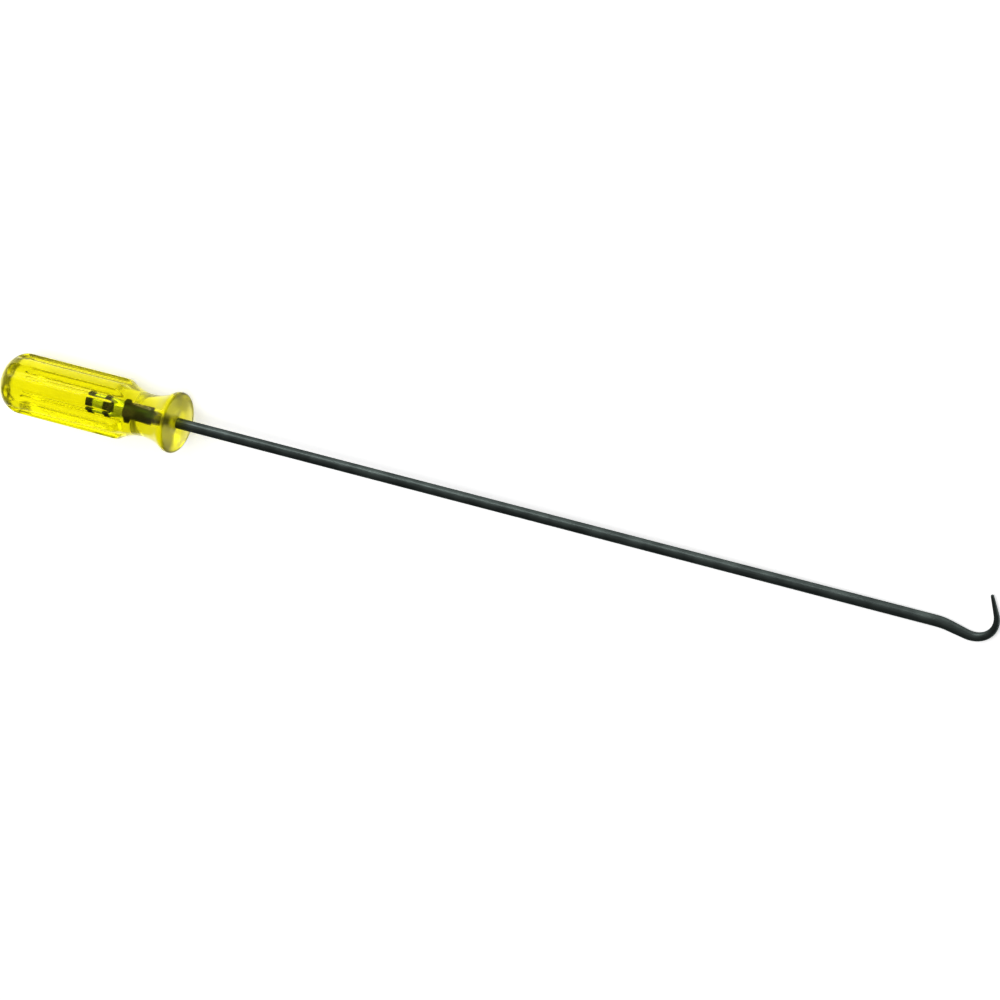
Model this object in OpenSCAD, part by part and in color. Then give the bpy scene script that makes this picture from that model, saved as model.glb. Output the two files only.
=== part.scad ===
// Long O-ring pick: a fluted, see-through handle moulded over the winged tang of a steel shank,
// whose far end is drawn down to a tapered hook. It lies as it comes to rest on a bench, on the
// handle's rim and on the flat of the hook. Sizes are in millimetres.

/* [Handle] */
// Length of the handle along the shank
handle_length = 88; // [75:1:110]
// Diameter over the grip and over the rim in front
grip_d = 27; // [25:0.5:32]
// Radius of the rounded butt end
butt_round = 9.3; // [6:0.1:10]
// Diameter at the narrowest place of the neck
neck_d = 19; // [16:0.5:20]
// Distance from the front face back to the narrowest place of the neck
neck_setback = 15.2; // [12:0.1:20]
// Thickness of the rim in front of the neck
rim_thickness = 2.6; // [2:0.1:5]
// Radius of the rim's front edge
rim_round = 1.1; // [0.5:0.1:1.6]

/* [Flutes] */
// Number of flutes round the grip
flute_count = 8; // [6:1:8]
// Depth of each flute below the grip's surface
flute_depth = 2; // [1:0.1:2.5]
// Radius of the flute's hollow
flute_radius = 4; // [3:0.1:4.5]
// Distance from the butt to the rounded start of the flutes
flute_start = 4.5; // [3:0.5:20]
// How far the flutes are turned about the shank from the plane of the hook
flute_turn = 13.3; // [0:0.1:45]

/* [Shank] */
// Diameter of the round bar
shank_d = 4.76; // [4:0.01:6.4]
// Straight length in front of the handle
shank_length = 358; // [200:1:420]

/* [Tang] */
// How far the bar reaches into the handle
tang_depth = 44; // [32:1:60]
// Number of pairs of wings pressed out of the tang
wing_count = 3; // [1:1:3]
// Width over a pair of wings
wing_span = 7; // [6.6:0.1:9]
// Thickness of a wing
wing_thickness = 1.9; // [1:0.1:2.5]
// Length of a wing at the middle of the bar
wing_root = 4.2; // [3:0.1:6]
// Length of a wing at its outer edge
wing_edge = 2.8; // [1:0.1:2.9]
// Distance from one pair of wings to the next
wing_pitch = 8.5; // [7:0.1:10]
// Distance from the end of the tang to the first pair of wings
wing_inset = 2.2; // [2.2:0.1:6]

/* [Hook] */
// Radius of the bend that leads away from the tip's side
lead_radius = 25; // [15:1:40]
// Angle of that bend
lead_angle = 14; // [4:0.5:20]
// Straight run after that bend
lead_run = 7.4; // [2:0.1:15]
// Radius of the crook, at the middle of the wire
crook_radius = 10.5; // [7:0.1:16]
// How far the tip leans back past a right angle
tip_lean = 13.5; // [0:0.5:30]
// Straight length of the tip
tip_length = 8.3; // [4:0.1:16]
// Diameter at the end of the tip
tip_d = 1.4; // [0.8:0.1:2.4]
// How the taper gathers towards the tip, where 1 is an even taper
taper_power = 1.4; // [1:0.1:2]

/* [Hidden] */
$fn = 96;

// The handle's profile, measured from its front face at 0 back to the butt
grip_r = grip_d / 2;
neck_r = neck_d / 2;
neck_rise = grip_r - neck_r;
neck_half = neck_setback - rim_thickness;
neck_arc = (neck_half * neck_half + neck_rise * neck_rise) / (2 * neck_rise);

// Each flute is a round-ended groove that runs from the rounding of the butt to the slope of the neck
flute_axis_r = grip_r - flute_depth + flute_radius;
flute_half = sqrt(flute_depth * (2 * flute_radius - flute_depth));
flute_back = handle_length - flute_start - flute_half;

// The bar, and the steps that the hook's skin is swept in. The skin starts inside the bar, a hair
// under its surface.
shank_r = shank_d / 2;
tip_r = tip_d / 2;
seam_step = 0.05;
seam_depth = 1;
root_r = shank_r - seam_step;
hook_sides = 24;
lead_steps = 6;
run_steps = 3;
crook_steps = 28;
tip_steps = 4;
dome_steps = 4;

// The centre line of the hook: bend away, straight run, crook, straight tip
tip_heading = 90 + tip_lean;
crook_turn = lead_angle + tip_heading;
lead_end = [shank_length + lead_radius * sin(lead_angle), -lead_radius * (1 - cos(lead_angle))];
run_end = lead_end + lead_run * heading(-lead_angle);
crook_centre = run_end + crook_radius * left_of(-lead_angle);
crook_end = crook_centre - crook_radius * left_of(tip_heading);
lead_arc = lead_radius * lead_angle * PI / 180;
crook_arc = crook_radius * crook_turn * PI / 180;
hook_arc = lead_arc + lead_run + crook_arc + tip_length;

function heading(angle) = [cos(angle), sin(angle)];
function left_of(angle) = [-sin(angle), cos(angle)];

// Radius of the wire at a distance along the hook's centre line
function wire_r(along) = root_r - (root_r - tip_r) * pow(along / hook_arc, taper_power);

// A station is [point, heading, radius]
function lead_station(f) = [
    [shank_length + lead_radius * sin(f * lead_angle), -lead_radius * (1 - cos(f * lead_angle))],
    -f * lead_angle,
    wire_r(f * lead_arc)
];
function run_station(f) = [
    lead_end + f * lead_run * heading(-lead_angle),
    -lead_angle,
    wire_r(lead_arc + f * lead_run)
];
function crook_station(f) = [
    crook_centre - crook_radius * left_of(f * crook_turn - lead_angle),
    f * crook_turn - lead_angle,
    wire_r(lead_arc + lead_run + f * crook_arc)
];
function tip_station(f) = [
    crook_end + f * tip_length * heading(tip_heading),
    tip_heading,
    wire_r(hook_arc - (1 - f) * tip_length)
];
function dome_station(f) = [
    crook_end + (tip_length + tip_r * sin(90 * f)) * heading(tip_heading),
    tip_heading,
    tip_r * cos(90 * f)
];

stations = concat(
    [[[shank_length - seam_depth, 0], 0, root_r]],
    [for (i = [0 : lead_steps - 1]) lead_station(i / lead_steps)],
    [for (i = [0 : run_steps - 1]) run_station(i / run_steps)],
    [for (i = [0 : crook_steps - 1]) crook_station(i / crook_steps)],
    [for (i = [0 : tip_steps - 1]) tip_station(i / tip_steps)],
    [for (i = [0 : dome_steps - 1]) dome_station(i / dome_steps)]
);
tip_point = crook_end + (tip_length + tip_r) * heading(tip_heading);

// The tool tips forward until the hook meets the bench, and turns about the rim's front edge
rim_edge_r = grip_r - rim_round;
function touch_tilt(s) =
    atan2(rim_edge_r, s[0].x + rim_round)
    + asin((rim_round - s[2]) / norm([rim_edge_r, s[0].x + rim_round]));
rest_tilt = min([for (s = stations) touch_tilt(s)]);
axis_rise = rim_edge_r * cos(rest_tilt) + rim_round - rim_round * sin(rest_tilt);

// The middle of the tool's box on the bench
x_front = max([for (s = stations) s[0].x + s[2] * abs(sin(s[1]))]) * cos(rest_tilt);
x_back = -handle_length * cos(rest_tilt) - (grip_r - butt_round) * sin(rest_tilt);
y_left = max(grip_r, tip_point.y);
mid_x = (x_front + x_back) / 2;
mid_y = (y_left - grip_r) / 2;

// Lays the tool, drawn along +X from the handle's front face, down on the bench
module at_rest() {
    translate([-mid_x, -mid_y, axis_rise])
        rotate([0, rest_tilt, 0])
            children();
}

// Turns what is drawn along +Z to lie along the shank
module along_shank() {
    rotate([0, 90, 0]) children();
}

// A quarter of a disc that fills the corner at its far side, right of and below or above its centre
module quarter_disc(radius, side) {
    intersection() {
        circle(r = radius);
        translate([0, side < 0 ? -radius : 0]) square(radius);
    }
}

// Half of the handle's section, with the shank's axis as its left edge
module handle_section() {
    difference() {
        union() {
            translate([0, -handle_length]) square([grip_r - butt_round, butt_round]);
            translate([grip_r - butt_round, butt_round - handle_length]) quarter_disc(butt_round, -1);
            translate([0, butt_round - handle_length])
                square([grip_r, handle_length - butt_round - rim_round]);
            translate([0, -rim_round]) square([grip_r - rim_round, rim_round]);
            translate([grip_r - rim_round, -rim_round]) quarter_disc(rim_round, 1);
        }
        translate([neck_r + neck_arc, -neck_setback]) circle(r = neck_arc);
    }
}

// One flute, drawn along +Z with its round end below
module flute_cutter() {
    translate([flute_axis_r, 0, -flute_back])
        rotate_extrude() {
            square([flute_radius, flute_back - neck_setback]);
            quarter_disc(flute_radius, -1);
        }
}

// A pair of wings across the tang, drawn flat in the plane of the hook
module wing_pair() {
    translate([0, 0, -wing_thickness / 2])
        linear_extrude(wing_thickness)
            polygon([
                [-wing_edge / 2, wing_span / 2],
                [wing_edge / 2, wing_span / 2],
                [wing_root / 2, 0],
                [wing_edge / 2, -wing_span / 2],
                [-wing_edge / 2, -wing_span / 2],
                [-wing_root / 2, 0]
            ]);
}

// The bar from the end of the tang to the given distance in front of the handle
module winged_bar(front) {
    translate([-tang_depth, 0, 0])
        along_shank()
            cylinder(r = shank_r, h = tang_depth + front);
    for (i = [0 : wing_count - 1])
        translate([wing_inset + i * wing_pitch - tang_depth, 0, 0])
            wing_pair();
}

// The tapered hook, swept as one closed skin along its centre line
module hook() {
    last = len(stations) - 1;
    rings = [
        for (s = stations)
            for (j = [0 : hook_sides - 1])
                let (across = s[2] * cos(360 * j / hook_sides), up = s[2] * sin(360 * j / hook_sides))
                    [s[0].x + across * left_of(s[1]).x, s[0].y + across * left_of(s[1]).y, up]
    ];
    apex = [[tip_point.x, tip_point.y, 0]];
    skin = [
        for (i = [0 : last - 1])
            for (j = [0 : hook_sides - 1])
                let (a = i * hook_sides + j, b = i * hook_sides + (j + 1) % hook_sides)
                    each [[a, a + hook_sides, b], [b, a + hook_sides, b + hook_sides]]
    ];
    cap = [[for (j = [0 : hook_sides - 1]) j]];
    nose = [
        for (j = [0 : hook_sides - 1])
            [last * hook_sides + j, len(rings), last * hook_sides + (j + 1) % hook_sides]
    ];
    polyhedron(points = concat(rings, apex), faces = concat(skin, cap, nose));
}

module handle() {
    color("#f1ea12")
        at_rest()
            difference() {
                along_shank()
                    difference() {
                        rotate_extrude() handle_section();
                        for (i = [0 : flute_count - 1])
                            rotate([0, 0, (i + 0.5) * 360 / flute_count + flute_turn])
                                flute_cutter();
                    }
                winged_bar(rim_round);
            }
}

module shank() {
    color("#33393a")
        at_rest() {
            winged_bar(shank_length);
            hook();
        }
}

handle();
shank();
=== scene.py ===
"""Looks of a long O-ring pick: a clear yellow fluted handle over the winged tang of a black steel
shank that ends in a tapered hook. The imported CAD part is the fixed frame, and both pieces lie where
its nodes lie."""

import math

import bpy
from bpy.props import FloatProperty, FloatVectorProperty, IntProperty, PointerProperty, StringProperty
from bpy.types import Operator, Panel, PropertyGroup
from mathutils import Matrix, Vector


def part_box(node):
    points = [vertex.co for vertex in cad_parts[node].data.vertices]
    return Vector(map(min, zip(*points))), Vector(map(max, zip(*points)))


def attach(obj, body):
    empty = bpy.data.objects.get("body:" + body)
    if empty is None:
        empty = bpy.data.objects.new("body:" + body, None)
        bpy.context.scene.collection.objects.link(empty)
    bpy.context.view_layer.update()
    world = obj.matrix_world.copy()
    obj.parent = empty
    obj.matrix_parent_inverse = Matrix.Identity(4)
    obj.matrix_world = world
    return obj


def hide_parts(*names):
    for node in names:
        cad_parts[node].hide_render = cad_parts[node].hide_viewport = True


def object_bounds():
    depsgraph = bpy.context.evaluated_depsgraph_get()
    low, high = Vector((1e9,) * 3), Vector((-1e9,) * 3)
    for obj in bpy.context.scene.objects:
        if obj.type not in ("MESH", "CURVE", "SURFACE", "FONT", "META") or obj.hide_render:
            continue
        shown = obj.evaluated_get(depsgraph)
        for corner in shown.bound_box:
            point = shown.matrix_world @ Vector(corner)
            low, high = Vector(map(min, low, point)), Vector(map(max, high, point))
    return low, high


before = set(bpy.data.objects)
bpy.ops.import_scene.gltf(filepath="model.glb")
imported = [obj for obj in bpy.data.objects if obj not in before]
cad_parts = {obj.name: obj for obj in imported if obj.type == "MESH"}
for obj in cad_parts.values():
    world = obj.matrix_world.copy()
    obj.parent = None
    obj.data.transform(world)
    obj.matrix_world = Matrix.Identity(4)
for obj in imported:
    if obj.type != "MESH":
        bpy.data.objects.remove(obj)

bl_info = {
    "name": "O-ring Pick",
    "version": (1, 0, 0),
    "blender": (4, 5, 0),
    "location": "View3D > Sidebar > Pick",
    "description": "Builds a long O-ring pick with a clear fluted handle and a tapered steel hook",
    "category": "Add Mesh",
}

CAD_BOX = [list(corner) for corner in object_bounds()]
HANDLE_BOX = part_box("handle")
MM = 0.001
GRIP_WIDTH = (HANDLE_BOX[1].y - HANDLE_BOX[0].y) / MM

# How far a finished piece may lie off the box of its node
LARGEST_OFFSET = 0.15 * MM

# How finely the bar is drawn: sides round it, and rings along each stretch of it
BAR_SIDES = 48
TANG_RINGS = 4
BAR_RINGS = 60
LEAD_RINGS = 14
RUN_RINGS = 4
CROOK_RINGS = 56
TIP_RINGS = 8
DOME_RINGS = 8
# The last ring of the tip's dome, as a share of a quarter turn
LAST_DOME_RING = 0.97
# The rings on both sides of a wing, as a share of half its root, and the gap to the next ring
WING_RING = 0.8
WING_GAP = 1 * MM
# Edges that bend more than this stay sharp
SHARP_ANGLE = math.radians(35)

# How finely a rib of the handle is drawn: columns over half a hollow, its edge and half a land
HOLLOW_COLUMNS = 9
EDGE_COLUMNS = 9
LAND_COLUMNS = 4
# The stretch on each side of a flute's edge that is drawn finely, as a share of its ease
EDGE_SHARE = 0.6
# Rings round the butt and round the rim's front edge, and the innermost ring of the butt
BUTT_RINGS = 26
RIM_RINGS = 9
BUTT_MIDDLE = 1 * MM
# A ring this far beyond a corner keeps the flat next to it flat
CORNER_RING = 0.2 * MM
# Points of two ribs this close are one point
MERGE_DISTANCE = 0.005 * MM
# Points this little behind the rounding of the rim's front edge still belong to the front face
FACE_MARGIN = 0.01 * MM

# Half the width of the floor in metres, and the width of the camera's sensor in millimetres
FLOOR_REACH = 6
SENSOR = 36


def size(name, description, millimetres):
    """A length that a user may change, stored in metres."""
    return FloatProperty(
        name=name,
        description=description,
        default=millimetres * MM,
        min=0,
        unit="LENGTH",
        subtype="DISTANCE",
    )


def angle(name, description, degrees):
    """An angle that a user may change, stored in radians."""
    return FloatProperty(
        name=name,
        description=description,
        default=math.radians(degrees),
        unit="ROTATION",
        subtype="ANGLE",
    )


def share(name, description, default):
    """A number from 0 to 1 that a user may change."""
    return FloatProperty(
        name=name,
        description=description,
        default=default,
        min=0,
        max=1,
        subtype="FACTOR",
    )


def count(name, description, default):
    """A whole number that a user may change."""
    return IntProperty(name=name, description=description, default=default, min=1)


def tint(name, description, default):
    """A colour that a user may change, as an sRGB hex value."""
    return StringProperty(name=name, description=description, default=default)


class PickHandleSizes(PropertyGroup):
    """Sizes of the fluted handle."""

    length: size("Length", "Length of the handle along the shank", 88)
    grip: size("Grip Diameter", "Diameter over the grip and over the rim", GRIP_WIDTH)
    butt_round: size("Butt Radius", "Radius of the rounded butt end", 9.3)
    neck: size("Neck Diameter", "Diameter at the narrowest place of the neck", 19)
    neck_setback: size("Neck Setback", "From the front face to the narrowest place of the neck", 15.2)
    rim_thickness: size("Rim Thickness", "Thickness of the rim in front of the neck", 2.6)
    rim_round: size("Rim Radius", "Radius of the rim's front edge", 1.1)
    flute_count: count("Flutes", "Number of flutes round the grip", 8)
    flute_depth: size("Flute Depth", "Depth of a flute below the grip's surface", 2)
    flute_radius: size("Flute Radius", "Radius of a flute's hollow", 4)
    flute_start: size("Flute Start", "From the butt to the rounded start of the flutes", 4.5)
    flute_turn: angle("Flute Turn", "Turn of the flutes from the plane of the hook", 13.3)
    edge_ease: size("Edge Ease", "How far polishing has eased the shoulder and the rim", 0.8)
    flute_ease: size("Flute Ease", "How far polishing has eased the edges of the flutes", 1.3)


class PickShankSizes(PropertyGroup):
    """Sizes of the bar, its tang and its hook."""

    bar: size("Bar Diameter", "Diameter of the round bar", 4.76)
    length: size("Length", "Straight length in front of the handle", 358)
    tang_depth: size("Tang Depth", "How far the bar reaches into the handle", 44)
    tang_chamfer: size("Tang Chamfer", "Chamfer at the end of the tang", 0.4)
    wing_count: count("Wings", "Number of pairs of wings on the tang", 3)
    wing_span: size("Wing Span", "Width over a pair of wings", 7)
    wing_thickness: size("Wing Thickness", "Thickness of a wing", 1.9)
    wing_root: size("Wing Root", "Length of a wing at the middle of the bar", 4.2)
    wing_edge: size("Wing Edge", "Length of a wing at its outer edge", 2.8)
    wing_pitch: size("Wing Pitch", "Distance from one pair of wings to the next", 8.5)
    wing_inset: size("Wing Inset", "From the end of the tang to the first pair of wings", 2.2)
    mouth_depth: size("Mouth Depth", "How far behind the front face the bore stands off the bar", 6)
    mouth_gap: size("Mouth Gap", "Film of air between the bar and the mouth of the bore", 0.05)
    tang_grip: size("Tang Grip", "How far the acetate bites into the tang behind the mouth", 0.03)
    lead_radius: size("Lead Radius", "Radius of the bend that leads away from the tip's side", 25)
    lead_angle: angle("Lead Angle", "Angle of that bend", 14)
    lead_run: size("Lead Run", "Straight run after that bend", 7.4)
    crook_radius: size("Crook Radius", "Radius of the crook, at the middle of the wire", 10.5)
    tip_lean: angle("Tip Lean", "How far the tip leans back past a right angle", 13.5)
    tip_length: size("Tip Length", "Straight length of the tip", 8.3)
    tip: size("Tip Diameter", "Diameter at the end of the tip", 1.4)
    taper_power: FloatProperty(
        name="Taper Power",
        description="How the taper gathers towards the tip, where 1 is even",
        default=1.4,
        min=0.2,
    )


class PickFinishes(PropertyGroup):
    """Colours and gloss of the two materials."""

    acetate: tint("Acetate", "Colour that the clear acetate lets through", "#fefe00")
    acetate_skin: tint("Acetate Skin", "Warm tint that light takes at the acetate's skin", "#fff7e6")
    acetate_depth: size("Acetate Depth", "Thickness of acetate that takes out most of the blue", 3.5)
    acetate_gloss: share("Acetate Roughness", "Roughness of the polished acetate", 0.12)
    acetate_sheen: tint("Acetate Sheen", "Warm tint of what the acetate mirrors", "#ffe860")
    turned_gloss: share("Turned Roughness", "Roughness of the front face, left as it was turned", 0.36)
    oxide: tint("Black Oxide", "Colour of the black oxide finish", "#3d4442")
    oxide_rubbed: tint("Rubbed Oxide", "Colour where the oxide is thin", "#525b58")
    oxide_edge: tint("Oxide Edge", "Tint of what the oxide mirrors at a glancing angle", "#a0a0a0")
    oxide_gloss: share("Oxide Roughness", "Roughness of the oiled oxide", 0.34)
    wetted: tint("Wetted Oxide", "Colour of the oxide where the acetate wets it", "#1d2f25")
    wetted_gloss: share("Wetted Roughness", "Roughness of the oxide under the acetate", 0.16)
    bare_steel: tint("Bare Steel", "Colour of the bar between the wings, left bare", "#c9dcc4")
    bare_gloss: share("Bare Roughness", "Roughness of the bare bar between the wings", 0.2)


class PickStageSettings(PropertyGroup):
    """Camera, lamps and floor."""

    camera_at: FloatVectorProperty(
        name="Camera",
        description="Place of the camera",
        default=(0.8727, 0.98093, 1.41846),
        subtype="TRANSLATION",
    )
    camera_aim: FloatVectorProperty(
        name="Aim",
        description="Point at the middle of the picture",
        default=(0.01055, 0.00077, 0.00855),
        subtype="TRANSLATION",
    )
    camera_up: FloatVectorProperty(
        name="Up",
        description="Direction that is up in the picture",
        default=(-0.24137, 0.85974, -0.45009),
        subtype="DIRECTION",
    )
    lens: FloatProperty(
        name="Lens",
        description="Focal length in millimetres",
        default=165.6,
        min=20,
    )
    floor: tint("Floor", "Colour of the floor", "#fbfbfb")
    floor_lift: share("Floor Lift", "White added where the camera, gloss or glass sees the floor", 0.45)
    softbox_power: FloatProperty(
        name="Softbox",
        description="Power of the softbox overhead",
        default=26,
        min=0,
        unit="POWER",
    )
    strip_power: FloatProperty(
        name="Strip Light",
        description="Power of the strip light beyond the tool",
        default=13,
        min=0,
        unit="POWER",
    )
    lit_side: FloatVectorProperty(
        name="Lit Side",
        description="Direction of the bright side of the room",
        default=(-0.4, 0.9, 0.1),
        subtype="DIRECTION",
    )
    room_dark: share("Room Dark", "Brightness of the room's far side", 0.2)
    room_light: share("Room Light", "Brightness of the lit side", 1)
    room_fall: FloatProperty(
        name="Room Fall",
        description="How fast the room darkens away from the lit side",
        default=3,
        min=0.1,
    )


def linear(hex_colour):
    """Turns an sRGB hex value into linear red, green, blue and alpha."""
    channels = [int(hex_colour[i : i + 2], 16) / 255 for i in (1, 3, 5)]
    return [c / 12.92 if c <= 0.04045 else ((c + 0.055) / 1.055) ** 2.4 for c in channels] + [1]


def add(tree, kind, inputs=None, **settings):
    """Adds a node with its settings, and sets or links its inputs."""
    node = tree.nodes.new(kind)
    for name, value in settings.items():
        setattr(node, name, value)
    for key, value in (inputs or {}).items():
        if isinstance(value, bpy.types.NodeSocket):
            tree.links.new(value, node.inputs[key])
        else:
            node.inputs[key].default_value = value
    return node


def empty_material(name):
    """A new material with an empty node tree."""
    made = bpy.data.materials.new(name)
    made.use_nodes = True
    made.node_tree.nodes.clear()
    return made


def node_group(name, sockets):
    """A new geometry tree with these named inputs, and its input node."""
    tree = bpy.data.node_groups.new(name, "GeometryNodeTree")
    tree.interface.new_socket("Geometry", in_out="INPUT", socket_type="NodeSocketGeometry")
    for label, kind in sockets:
        tree.interface.new_socket(label, in_out="INPUT", socket_type=kind)
    tree.interface.new_socket("Geometry", in_out="OUTPUT", socket_type="NodeSocketGeometry")
    return tree, add(tree, "NodeGroupInput").outputs


def run_tree(name, mesh, tree, values):
    """Runs a geometry tree on a mesh and returns an object whose mesh is the plain result."""
    made = bpy.data.objects.new(name, mesh)
    bpy.context.scene.collection.objects.link(made)
    modifier = made.modifiers.new(tree.name, "NODES")
    modifier.node_group = tree
    for item in tree.interface.items_tree:
        if item.in_out == "INPUT" and item.name in values:
            modifier[item.identifier] = values[item.name]
    graph = bpy.context.evaluated_depsgraph_get()
    result = bpy.data.meshes.new_from_object(made.evaluated_get(graph), depsgraph=graph)
    made.modifiers.remove(modifier)
    made.data = result
    result.name = name
    bpy.data.meshes.remove(mesh)
    bpy.data.node_groups.remove(tree)
    if not result.polygons:
        raise RuntimeError(f"{name}: the geometry tree made no faces")
    return made


def mark_faces(piece, name, marks):
    """Gives each face of a piece a mark of 0 or 1 that its material reads."""
    piece.data.attributes.new(name, "FLOAT", "FACE").data.foreach_set("value", marks)


def steps(start, end, number):
    """Even steps from start to end, without the end itself."""
    return [start + (end - start) * i / number for i in range(number)]


def wing_places(shank):
    """Where the pairs of wings stand along the shank."""
    first = shank.wing_inset - shank.tang_depth
    return [first + i * shank.wing_pitch for i in range(shank.wing_count)]


def hook_line(shank):
    """Centre line of the tool from the end of the tang to the tip, as (x, y, radius), drawn along +X
    from the front face."""
    bar, tip = shank.bar / 2, shank.tip / 2
    tip_heading = math.pi / 2 + shank.tip_lean
    crook_turn = shank.lead_angle + tip_heading
    legs = [
        (shank.lead_radius * shank.lead_angle, -shank.lead_angle, LEAD_RINGS),
        (shank.lead_run, 0, RUN_RINGS),
        (shank.crook_radius * crook_turn, crook_turn, CROOK_RINGS),
        (shank.tip_length, 0, TIP_RINGS),
    ]
    whole = sum(length for length, _, _ in legs)
    tang_end = -shank.tang_depth
    line = [(tang_end, 0, bar - shank.tang_chamfer), (tang_end + shank.tang_chamfer, 0, bar)]
    for wing in wing_places(shank):
        line += [(wing + side * shank.wing_root / 2, 0, bar) for side in (-WING_RING, WING_RING)]
    straight = steps(line[-1][0] + WING_GAP, -shank.mouth_depth, TANG_RINGS)
    straight += steps(-shank.mouth_depth, shank.length, BAR_RINGS)
    line += [(x, 0, bar) for x in straight]
    x, y, heading, along = shank.length, 0, 0, 0
    for length, turn, number in legs:
        part = turn / number
        chord = length / number * (math.sin(part / 2) / (part / 2) if part else 1)
        for _ in range(number):
            line.append((x, y, bar - (bar - tip) * (along / whole) ** shank.taper_power))
            x += chord * math.cos(heading + part / 2)
            y += chord * math.sin(heading + part / 2)
            heading += part
            along += length / number
    for rise in steps(0, math.pi / 2, DOME_RINGS) + [math.pi / 2 * LAST_DOME_RING]:
        reach = tip * math.sin(rise)
        end = (x + reach * math.cos(heading), y + reach * math.sin(heading), tip * math.cos(rise))
        line.append(end)
    return line


def lying(handle, shank):
    """The place of the tool on the bench, where it rests on the rim's front edge and on the flat of
    the hook."""
    hook = [point for point in hook_line(shank) if point[0] > shank.length]
    grip, edge = handle.grip / 2, handle.grip / 2 - handle.rim_round
    tilt = min(
        math.atan2(edge, x + handle.rim_round)
        + math.asin((handle.rim_round - radius) / math.hypot(edge, x + handle.rim_round))
        for x, _, radius in hook
    )
    rise = edge * math.cos(tilt) + handle.rim_round * (1 - math.sin(tilt))
    front = max(x + radius for x, _, radius in hook) * math.cos(tilt)
    back = -handle.length * math.cos(tilt) - (grip - handle.butt_round) * math.sin(tilt)
    middle_y = (max(grip, hook[-1][1]) - grip) / 2
    centre = [(low + high) / 2 for low, high in zip(*CAD_BOX)]
    place = Matrix.Translation((centre[0] - (front + back) / 2, centre[1] - middle_y, rise))
    return place @ Matrix.Rotation(tilt, 4, "Y")


def settle(piece, node, place):
    """Lays a finished piece where its CAD node lies, and makes it ride and replace the node."""
    piece.data.transform(place)
    points = [vertex.co for vertex in piece.data.vertices]
    corners = [Vector(end(point[i] for point in points) for i in range(3)) for end in (min, max)]
    off = max(abs(c) for ours, its in zip(corners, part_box(node)) for c in ours - its)
    if off > LARGEST_OFFSET:
        raise RuntimeError(f"{piece.name} lies {off / MM:.2f} mm off its node {node}")
    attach(piece, "root")
    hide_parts(node)


def smooth_min(a, b, ease):
    """The lesser of two radii, eased over where they meet."""
    near = max(ease - abs(a - b), 0) / ease
    return min(a, b) - near * near * ease / 4


def rib_mesh(handle):
    """One rib of the handle, from the middle of one land over a flute to the middle of the next, as a
    wedge of skin."""
    grip, neck = handle.grip / 2, handle.neck / 2
    half, fall = handle.neck_setback - handle.rim_thickness, grip - neck
    neck_arc = (half * half + fall * fall) / (2 * fall)
    flute_axis = grip - handle.flute_depth + handle.flute_radius
    flute_half = math.sqrt(handle.flute_depth * (2 * handle.flute_radius - handle.flute_depth))
    flute_back = handle.flute_start + flute_half - handle.length

    def body(x):
        """Radius of the body over the lands, between the butt and the rim."""
        from_neck = x + handle.neck_setback
        if abs(from_neck) >= neck_arc:
            return grip
        hollow = neck + neck_arc - math.sqrt(neck_arc**2 - from_neck**2)
        return smooth_min(grip, hollow, handle.edge_ease)

    def skin(x, radius, turn):
        """That radius, less the flute at this turn from its middle."""
        behind = min(x - flute_back, 0)
        beside = flute_axis * math.sin(turn)
        depth = handle.flute_radius**2 - behind**2 - beside**2
        if depth > 0 and x < -handle.neck_setback:
            floor = flute_axis * math.cos(turn) - math.sqrt(depth)
            radius = smooth_min(radius, floor, handle.flute_ease)
        return radius

    wedge = math.pi / handle.flute_count
    edge = math.acos((grip**2 + flute_axis**2 - handle.flute_radius**2) / (2 * grip * flute_axis))
    rounding = EDGE_SHARE * handle.flute_ease / grip
    outward = steps(0, edge - rounding, HOLLOW_COLUMNS)
    outward += steps(edge - rounding, edge + rounding, EDGE_COLUMNS)
    outward += steps(edge + rounding, wedge, LAND_COLUMNS) + [wedge]
    turns = [-turn for turn in reversed(outward[1:])] + outward

    butt, rim = handle.butt_round, handle.rim_round
    butt_edge = grip - butt
    arc_x = butt - handle.length
    after_butt = arc_x + 4 * MM
    before_shoulder = -handle.neck_setback - half - 2 * MM
    waist = -handle.neck_setback - 1 * MM
    before_rim = -handle.rim_thickness - 1.4 * MM
    # Each stretch of the body has its start, its end and its number of rings
    reaches = [
        (arc_x, after_butt, 14),
        (after_butt, before_shoulder, 16),
        (before_shoulder, waist, 44),
        (waist, before_rim, 18),
        (before_rim, -rim, 16),
    ]
    rings = [(-handle.length, r) for r in (BUTT_MIDDLE, butt_edge - CORNER_RING)]
    for a in steps(0, math.pi / 2, BUTT_RINGS):
        rings.append((arc_x - butt * math.cos(a), butt_edge + butt * math.sin(a)))
    for start, end, number in reaches:
        rings += [(x, body(x)) for x in steps(start, end, number)]
    for a in steps(0, math.pi / 2, RIM_RINGS):
        rings.append((rim * (math.sin(a) - 1), grip - rim + rim * math.cos(a)))
    rings += [(0, r) for r in (grip - rim, grip - rim - CORNER_RING, grip / 2)]

    verts = [(-handle.length, 0, 0)]
    for x, radius in rings:
        for turn in turns:
            r = skin(x, radius, turn)
            verts.append((x, r * math.sin(turn), -r * math.cos(turn)))
    verts.append((0, 0, 0))
    wide, last = len(turns), len(verts) - 1
    faces = [(0, 2 + j, 1 + j) for j in range(wide - 1)]
    for i in range(len(rings) - 1):
        first, above = 1 + i * wide, 1 + (i + 1) * wide
        faces += [(first + j, first + j + 1, above + j + 1, above + j) for j in range(wide - 1)]
    first = last - wide
    faces += [(first + j, first + j + 1, last) for j in range(wide - 1)]
    mesh = bpy.data.meshes.new("handle_rib")
    mesh.from_pydata(verts, [], faces)
    return mesh


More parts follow.
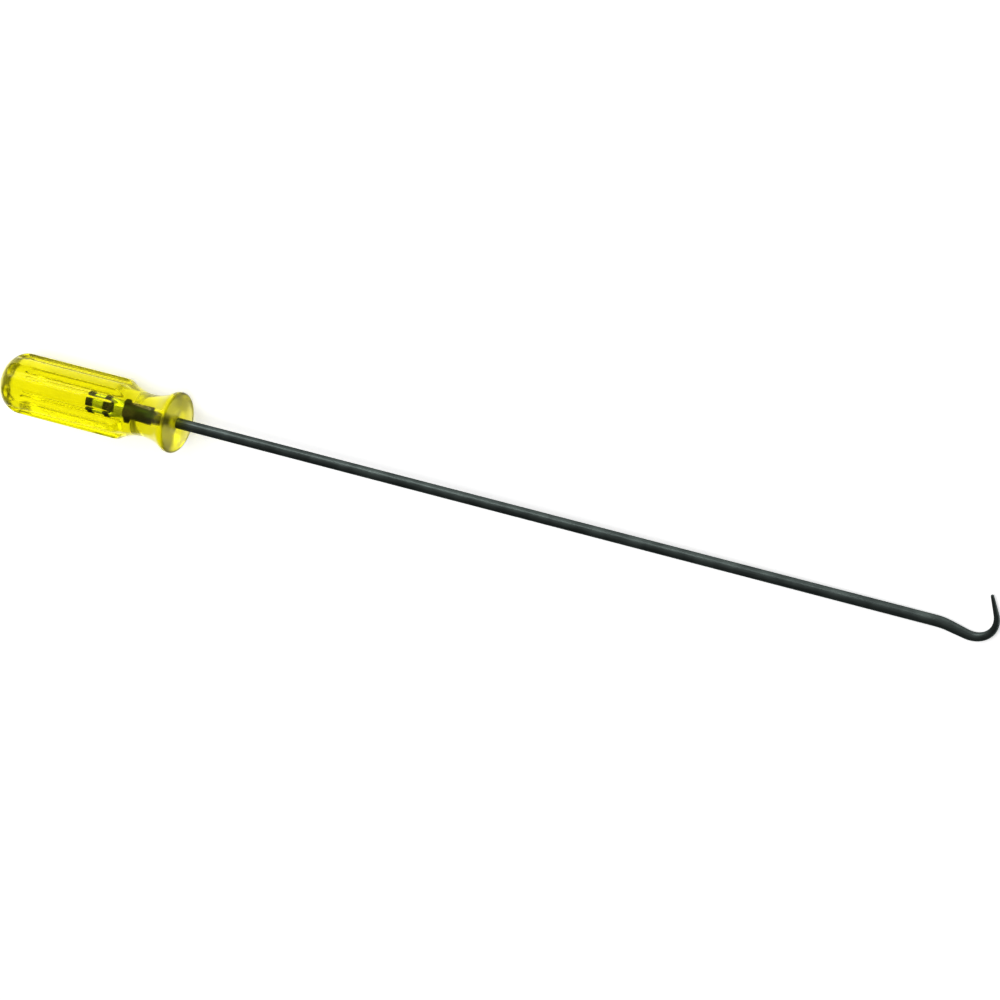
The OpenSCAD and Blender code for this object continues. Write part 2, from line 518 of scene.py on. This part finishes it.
def handle_tree():
    """Repeats the rib round the shank, closes the skin and opens it for the tang."""
    tree, given = node_group(
        "fluted_handle",
        [
            ("Flutes", "NodeSocketInt"),
            ("First Flute", "NodeSocketFloat"),
            ("Tang", "NodeSocketObject"),
            ("Acetate", "NodeSocketMaterial"),
        ],
    )
    index = add(tree, "GeometryNodeInputIndex").outputs[0]
    pitch = add(
        tree, "ShaderNodeMath", {0: math.tau, 1: given["Flutes"]}, operation="DIVIDE"
    ).outputs[0]
    turn = add(
        tree,
        "ShaderNodeMath",
        {0: index, 1: pitch, 2: given["First Flute"]},
        operation="MULTIPLY_ADD",
    ).outputs[0]
    points = add(tree, "GeometryNodePoints", {"Count": given["Flutes"]}).outputs[0]
    about = add(tree, "ShaderNodeCombineXYZ", {"X": turn}).outputs[0]
    ribs = add(
        tree,
        "GeometryNodeInstanceOnPoints",
        {"Points": points, "Instance": given["Geometry"], "Rotation": about},
    ).outputs[0]
    loose = add(tree, "GeometryNodeRealizeInstances", {0: ribs}).outputs[0]
    closed = add(
        tree, "GeometryNodeMergeByDistance", {"Geometry": loose, "Distance": MERGE_DISTANCE}
    ).outputs[0]
    tang = add(tree, "GeometryNodeObjectInfo", {"Object": given["Tang"]}).outputs["Geometry"]
    bored = add(
        tree,
        "GeometryNodeMeshBoolean",
        {"Mesh 1": closed, "Mesh 2": tang},
        operation="DIFFERENCE",
        solver="MANIFOLD",
    ).outputs[0]
    smooth = add(tree, "GeometryNodeSetShadeSmooth", {0: bored, "Shade Smooth": True}).outputs[0]
    finished = add(
        tree, "GeometryNodeSetMaterial", {"Geometry": smooth, "Material": given["Acetate"]}
    ).outputs[0]
    add(tree, "NodeGroupOutput", {0: finished})
    return tree


def wing_mesh(shank, gap):
    """A pair of wings across the tang, flat in the plane of the hook, with a gap added all round."""
    span = shank.wing_span / 2 + gap
    root = shank.wing_root / 2 + gap
    edge = shank.wing_edge / 2 + gap
    high = shank.wing_thickness / 2 + gap
    outline = [(-edge, span), (-root, 0), (-edge, -span), (edge, -span), (root, 0), (edge, span)]
    verts = [(x, y, z) for z in (-high, high) for x, y in outline]
    corners = len(outline)
    faces = [tuple(reversed(range(corners))), tuple(range(corners, 2 * corners))]
    for i in range(corners):
        after = (i + 1) % corners
        faces.append((i, after, corners + after, corners + i))
    mesh = bpy.data.meshes.new("tang_wing")
    mesh.from_pydata(verts, [], faces)
    return mesh


def shank_tree():
    """Sweeps a round bar along its centre line and joins the repeated wings to its tang."""
    tree, given = node_group(
        "swept_shank",
        [
            ("Sides", "NodeSocketInt"),
            ("Wing", "NodeSocketObject"),
            ("Wings", "NodeSocketInt"),
            ("First Wing", "NodeSocketVector"),
            ("Wing Pitch", "NodeSocketVector"),
            ("Sharp Angle", "NodeSocketFloat"),
            ("Steel", "NodeSocketMaterial"),
        ],
    )
    path = add(tree, "GeometryNodeMeshToCurve", {"Mesh": given["Geometry"]}).outputs[0]
    ring = add(
        tree, "GeometryNodeCurvePrimitiveCircle", {"Resolution": given["Sides"], "Radius": 1}
    ).outputs[0]
    radius = add(
        tree, "GeometryNodeInputNamedAttribute", {"Name": "wire_radius"}, data_type="FLOAT"
    ).outputs[0]
    bar = add(
        tree,
        "GeometryNodeCurveToMesh",
        {"Curve": path, "Profile Curve": ring, "Scale": radius, "Fill Caps": True},
    ).outputs[0]
    places = add(
        tree,
        "GeometryNodeMeshLine",
        {"Count": given["Wings"], "Start Location": given["First Wing"], "Offset": given["Wing Pitch"]},
    ).outputs[0]
    wing = add(tree, "GeometryNodeObjectInfo", {"Object": given["Wing"]}).outputs["Geometry"]
    wings = add(tree, "GeometryNodeInstanceOnPoints", {"Points": places, "Instance": wing}).outputs[0]
    loose = add(tree, "GeometryNodeRealizeInstances", {0: wings}).outputs[0]
    joined = add(tree, "GeometryNodeMeshBoolean", {"Mesh 2": bar}, operation="UNION", solver="MANIFOLD")
    tree.links.new(loose, joined.inputs["Mesh 2"])
    bend = add(tree, "GeometryNodeInputMeshEdgeAngle").outputs["Unsigned Angle"]
    soft = add(
        tree, "FunctionNodeCompare", {0: bend, 1: given["Sharp Angle"]}, operation="LESS_THAN"
    ).outputs[0]
    faces = add(
        tree, "GeometryNodeSetShadeSmooth", {0: joined.outputs[0], "Shade Smooth": True}
    ).outputs[0]
    smooth = add(
        tree, "GeometryNodeSetShadeSmooth", {0: faces, "Shade Smooth": soft}, domain="EDGE"
    ).outputs[0]
    finished = add(
        tree, "GeometryNodeSetMaterial", {"Geometry": smooth, "Material": given["Steel"]}
    ).outputs[0]
    add(tree, "NodeGroupOutput", {0: finished})
    return tree


def noise(tree, place, width, detail):
    """A soft pattern with patches about this wide."""
    inputs = {"Vector": place, "Scale": 1 / width, "Detail": detail}
    return add(tree, "ShaderNodeTexNoise", inputs).outputs[0]


def drawn_out(tree, place, times):
    """Coordinates that draw a pattern out this many times along the shank."""
    return add(tree, "ShaderNodeMapping", {"Vector": place, "Scale": (1 / times, 1, 1)}).outputs[0]


def sum_of(tree, first, weight, second):
    """A first pattern times its weight, plus a second."""
    inputs = {0: first, 1: weight, 2: second}
    return add(tree, "ShaderNodeMath", inputs, operation="MULTIPLY_ADD").outputs[0]


def acetate_material(finish):
    """Cellulose acetate, milled from clear yellow bar and polished in vapour: bright where light comes
    straight through, deeper yellow with depth, dark at the edges, with faint flow lines along the
    handle, a soft ripple and slightly duller rubbed patches. The front face and its rounded edge stay
    as they were turned and are less clear."""
    flow_width, flow_times, flow_weight = 2.5 * MM, 60, 0.3
    ripple_width, ripple_height = 7 * MM, 0.2 * MM
    rub_width = 1.5 * MM
    made = empty_material("clear_yellow_acetate")
    tree = made.node_tree
    place = add(tree, "ShaderNodeTexCoord").outputs["Object"]
    flow = noise(tree, drawn_out(tree, place, flow_times), flow_width, 2)
    ripple = noise(tree, place, ripple_width, 1)
    height = sum_of(tree, flow, flow_weight, ripple)
    bump = add(
        tree, "ShaderNodeBump", {"Strength": 0.06, "Distance": ripple_height, "Height": height}
    ).outputs[0]
    rubbed = noise(tree, place, rub_width, 4)
    polish = add(
        tree,
        "ShaderNodeMapRange",
        {
            "Value": rubbed,
            "From Min": 0.4,
            "From Max": 0.8,
            "To Min": finish.acetate_gloss,
            "To Max": 2 * finish.acetate_gloss,
        },
    ).outputs[0]
    turned = add(tree, "ShaderNodeAttribute", attribute_name="turned").outputs["Fac"]
    rough = add(tree, "ShaderNodeMix", {0: turned, 2: polish, 3: finish.turned_gloss}).outputs[0]
    skin = add(
        tree,
        "ShaderNodeBsdfPrincipled",
        {
            "Base Color": linear(finish.acetate_skin),
            "Roughness": rough,
            "IOR": 1.48,
            "Specular IOR Level": 0.15,
            "Specular Tint": linear(finish.acetate_sheen),
            "Transmission Weight": 1,
            "Normal": bump,
        },
    ).outputs[0]
    depth = add(
        tree,
        "ShaderNodeVolumeAbsorption",
        {"Color": linear(finish.acetate), "Density": 1 / finish.acetate_depth},
    ).outputs[0]
    add(tree, "ShaderNodeOutputMaterial", {"Surface": skin, "Volume": depth})
    return made


def oxide_material(finish):
    """Tool steel wire, drawn, bent and blackened in an oxide bath, then oiled: nearly black with a cool
    green cast, a satin sheen along the top, faint draw lines along the wire and patches where the
    oxide is thinner. Under the acetate it is wetted and blacker, and between the wings the bar was
    left bare and shines."""
    draw_width, draw_times, draw_height, draw_weight = 0.5 * MM, 40, 0.05 * MM, 0.5
    patch_width = 9 * MM
    made = empty_material("black_oxide_steel")
    tree = made.node_tree
    place = add(tree, "ShaderNodeTexCoord").outputs["Object"]
    drawn = noise(tree, drawn_out(tree, place, draw_times), draw_width, 3)
    patch = noise(tree, place, patch_width, 5)
    thin = sum_of(tree, drawn, draw_weight, patch)
    worn = add(
        tree, "ShaderNodeMapRange", {"Value": thin, "From Min": 0.6, "From Max": 0.95}
    ).outputs[0]
    oxide = add(
        tree,
        "ShaderNodeMix",
        {0: worn, 6: linear(finish.oxide), 7: linear(finish.oxide_rubbed)},
        data_type="RGBA",
    ).outputs[2]
    wet = add(tree, "ShaderNodeAttribute", attribute_name="wetted").outputs["Fac"]
    dark = add(
        tree, "ShaderNodeMix", {0: wet, 6: oxide, 7: linear(finish.wetted)}, data_type="RGBA"
    ).outputs[2]
    bare = add(tree, "ShaderNodeAttribute", attribute_name="bare").outputs["Fac"]
    colour = add(
        tree, "ShaderNodeMix", {0: bare, 6: dark, 7: linear(finish.bare_steel)}, data_type="RGBA"
    ).outputs[2]
    satin = add(
        tree,
        "ShaderNodeMapRange",
        {"Value": patch, "To Min": finish.oxide_gloss - 0.08, "To Max": finish.oxide_gloss + 0.1},
    ).outputs[0]
    smooth = add(tree, "ShaderNodeMix", {0: wet, 2: satin, 3: finish.wetted_gloss}).outputs[0]
    rough = add(tree, "ShaderNodeMix", {0: bare, 2: smooth, 3: finish.bare_gloss}).outputs[0]
    bump = add(
        tree, "ShaderNodeBump", {"Strength": 0.2, "Distance": draw_height, "Height": drawn}
    ).outputs[0]
    skin = add(
        tree,
        "ShaderNodeBsdfPrincipled",
        {
            "Base Color": colour,
            "Metallic": 1,
            "Specular Tint": linear(finish.oxide_edge),
            "Roughness": rough,
            "Normal": bump,
        },
    ).outputs[0]
    add(tree, "ShaderNodeOutputMaterial", {"Surface": skin})
    return made


def paper_material(stage):
    """Matt white paper under the tool: it takes the shadow, and looks white to the camera and in gloss
    and glass."""
    made = empty_material("matt_white_paper")
    tree = made.node_tree
    matt = add(tree, "ShaderNodeBsdfDiffuse", {"Color": linear(stage.floor)}).outputs[0]
    path = add(tree, "ShaderNodeLightPath").outputs
    seen = path["Is Camera Ray"]
    for ray in ("Is Glossy Ray", "Is Transmission Ray"):
        seen = add(tree, "ShaderNodeMath", {0: seen, 1: path[ray]}, operation="MAXIMUM").outputs[0]
    lift = add(tree, "ShaderNodeMath", {0: seen, 1: stage.floor_lift}, operation="MULTIPLY").outputs[0]
    white = add(tree, "ShaderNodeEmission", {"Strength": lift}).outputs[0]
    paper = add(tree, "ShaderNodeAddShader", {0: matt, 1: white}).outputs[0]
    add(tree, "ShaderNodeOutputMaterial", {"Surface": paper})
    return made


def pale_room(stage):
    """A world that is bright on the lit side and falls off to a dim far side."""
    world = bpy.data.worlds.new("pale_room")
    world.use_nodes = True
    tree = world.node_tree
    tree.nodes.clear()
    way = add(tree, "ShaderNodeTexCoord").outputs["Generated"]
    facing = add(
        tree, "ShaderNodeVectorMath", {0: way, 1: stage.lit_side}, operation="DOT_PRODUCT"
    ).outputs["Value"]
    lit = add(tree, "ShaderNodeMapRange", {"Value": facing, "From Min": -1, "From Max": 1}).outputs[0]
    fall = add(tree, "ShaderNodeMath", {0: lit, 1: stage.room_fall}, operation="POWER").outputs[0]
    level = add(
        tree,
        "ShaderNodeMapRange",
        {"Value": fall, "To Min": stage.room_dark, "To Max": stage.room_light},
    ).outputs[0]
    room = add(tree, "ShaderNodeBackground", {"Strength": level}).outputs[0]
    add(tree, "ShaderNodeOutputWorld", {0: room})
    return world


def winged_bar(name, shank, line, gap, steel):
    """A bar along this centre line with the wings on its tang, which a gap makes larger all round."""
    mesh = bpy.data.meshes.new("shank_line")
    mesh.from_pydata([(x, y, 0) for x, y, _ in line], [(i, i + 1) for i in range(len(line) - 1)], [])
    radius = mesh.attributes.new("wire_radius", "FLOAT", "POINT")
    radius.data.foreach_set("value", [r for _, _, r in line])
    wing = bpy.data.objects.new("tang_wing", wing_mesh(shank, gap))
    values = {
        "Sides": BAR_SIDES,
        "Wing": wing,
        "Wings": shank.wing_count,
        "First Wing": (shank.wing_inset - shank.tang_depth, 0, 0),
        "Wing Pitch": (shank.wing_pitch, 0, 0),
        "Sharp Angle": SHARP_ANGLE,
        "Steel": steel,
    }
    piece = run_tree(name, mesh, shank_tree(), values)
    bpy.data.meshes.remove(wing.data)
    return piece


class PICK_OT_shank(Operator):
    """Makes the black steel shank with its winged tang and tapered hook"""

    bl_idname = "pick.shank"
    bl_label = "Shank and Hook"

    def execute(self, context):
        handle, shank = context.scene.pick_handle, context.scene.pick_shank
        steel = oxide_material(context.scene.pick_finish)
        piece = winged_bar("shank_steel", shank, hook_line(shank), 0, steel)
        wings = wing_places(shank)
        wetted, bare = [], []
        for face in piece.data.polygons:
            x = face.center.x
            clear = min(abs(x - wing) for wing in wings) > shank.wing_root / 2
            wetted.append(x < -shank.mouth_depth)
            bare.append(wings[0] < x < wings[-1] and clear)
        mark_faces(piece, "wetted", wetted)
        mark_faces(piece, "bare", bare)
        settle(piece, "shank", lying(handle, shank))
        return {"FINISHED"}


class PICK_OT_handle(Operator):
    """Makes the clear yellow fluted handle round the tang"""

    bl_idname = "pick.handle"
    bl_label = "Fluted Handle"

    def execute(self, context):
        handle, shank = context.scene.pick_handle, context.scene.pick_shank
        bite = shank.tang_grip
        mouth_radius = shank.bar / 2 + shank.mouth_gap
        inside = [point for point in hook_line(shank) if point[0] < -shank.mouth_depth]
        bore = [(x + bite, y, radius - bite) for x, y, radius in inside]
        bore += [(x, 0, mouth_radius) for x in (CORNER_RING - shank.mouth_depth, shank.mouth_depth)]
        tang = winged_bar("tang_bore", shank, bore, -bite, None)
        values = {
            "Flutes": handle.flute_count,
            "First Flute": handle.flute_turn + math.pi / handle.flute_count,
            "Tang": tang,
            "Acetate": acetate_material(context.scene.pick_finish),
        }
        piece = run_tree("handle_acetate", rib_mesh(handle), handle_tree(), values)
        bpy.data.meshes.remove(tang.data)
        edge = -handle.rim_round - FACE_MARGIN
        front = [vertex.co.x > edge for vertex in piece.data.vertices]
        turned = [all(front[i] for i in face.vertices) for face in piece.data.polygons]
        mark_faces(piece, "turned", turned)
        settle(piece, "handle", lying(handle, shank))
        return {"FINISHED"}


class PICK_OT_stage(Operator):
    """Makes the pale floor, the soft lamps, the room and the camera"""

    bl_idname = "pick.stage"
    bl_label = "Stage"

    def execute(self, context):
        scene, stage = context.scene, context.scene.pick_stage
        sides = [(-1, -1), (1, -1), (1, 1), (-1, 1)]
        corners = [(x * FLOOR_REACH, y * FLOOR_REACH, 0) for x, y in sides]
        mesh = bpy.data.meshes.new("floor")
        mesh.from_pydata(corners, [], [(0, 1, 2, 3)])
        mesh.materials.append(paper_material(stage))
        floor = bpy.data.objects.new("floor", mesh)
        scene.collection.objects.link(floor)

        # Each lamp has its place, aim, power, width and height, and may show in gloss
        for name, at, aim, power, wide, high, shows in (
            ("softbox", (0.1, 0.9, 1.9), (0, 0, 0), stage.softbox_power, 2, 2, False),
            ("strip_light", (-1.6, 1.45, 0.4), (-1.6, 0, 0), stage.strip_power, 2.3, 0.45, True),
        ):
            lamp = bpy.data.lights.new(name, "AREA")
            lamp.shape = "RECTANGLE"
            lamp.energy = power
            lamp.size = wide
            lamp.size_y = high
            holder = bpy.data.objects.new(name, lamp)
            holder.location = at
            holder.rotation_euler = (Vector(aim) - Vector(at)).to_track_quat("-Z", "Y").to_euler()
            holder.visible_glossy = shows
            scene.collection.objects.link(holder)
        scene.world = pale_room(stage)
        scene.view_settings.view_transform = "Standard"

        camera = bpy.data.objects.new("camera", bpy.data.cameras.new("camera"))
        back = (Vector(stage.camera_at) - Vector(stage.camera_aim)).normalized()
        right = Vector(stage.camera_up).cross(back).normalized()
        turned = Matrix((right, back.cross(right), back)).transposed().to_4x4()
        camera.matrix_world = Matrix.Translation(stage.camera_at) @ turned
        camera.data.sensor_width = SENSOR
        camera.data.lens = stage.lens
        scene.collection.objects.link(camera)
        scene.camera = camera
        return {"FINISHED"}


class PICK_PT_sidebar(Panel):
    """Lists the sizes, the finishes and the operators of the pick"""

    bl_idname = "PICK_PT_sidebar"
    bl_label = "O-ring Pick"
    bl_space_type = "VIEW_3D"
    bl_region_type = "UI"
    bl_category = "Pick"

    def draw(self, context):
        for holder, _ in SETTINGS:
            group = getattr(context.scene, holder)
            column = self.layout.box().column()
            for name in group.__annotations__:
                column.prop(group, name)
        for operator in OPERATORS:
            self.layout.operator(operator.bl_idname)


SETTINGS = [
    ("pick_handle", PickHandleSizes),
    ("pick_shank", PickShankSizes),
    ("pick_finish", PickFinishes),
    ("pick_stage", PickStageSettings),
]
OPERATORS = [PICK_OT_shank, PICK_OT_handle, PICK_OT_stage]


def register():
    """Registers the classes and hangs the settings on the scene."""
    for _, group in SETTINGS:
        bpy.utils.register_class(group)
    for cls in OPERATORS + [PICK_PT_sidebar]:
        bpy.utils.register_class(cls)
    for name, group in SETTINGS:
        setattr(bpy.types.Scene, name, PointerProperty(type=group))


def unregister():
    """Takes the settings off the scene and unregisters the classes."""
    for name, _ in SETTINGS:
        delattr(bpy.types.Scene, name)
    for cls in [PICK_PT_sidebar] + OPERATORS + [group for _, group in SETTINGS]:
        bpy.utils.unregister_class(cls)


def main():
    """Builds the pick and its stage."""
    register()
    bpy.ops.pick.shank()
    bpy.ops.pick.handle()
    bpy.ops.pick.stage()


if __name__ == "__main__":
    main()
